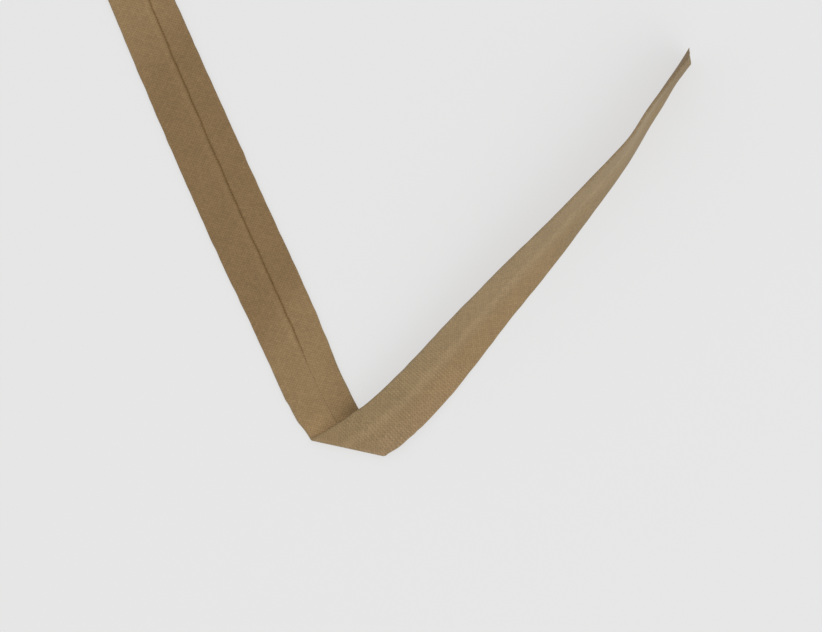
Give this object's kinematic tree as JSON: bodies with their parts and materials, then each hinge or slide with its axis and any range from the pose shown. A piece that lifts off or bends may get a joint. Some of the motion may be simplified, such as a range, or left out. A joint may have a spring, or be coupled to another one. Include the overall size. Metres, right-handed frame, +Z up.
{
  "type": "length of bias binding",
  "caption": "Cut length of single-fold bias binding, long edges pressed in to nearly meet, lying flat, folded over on a slant and twisting up onto one edge.",
  "frame": {"origin": "on the table, under the middle of the part's box", "axes": "+Z up from the table; +X along the longer side of the part's box, from the flat run's cut end towards the standing run's cut end; +Y away from the slanting fold, towards both cut ends"},
  "size_m": [0.1191, 0.1059, 0.012],
  "materials": {
    "cloth": "matt plain weave, cut on the bias, pressed"
  },
  "bodies": {
    "root": {"binding": "cloth"}
  },
  "joints": []
}
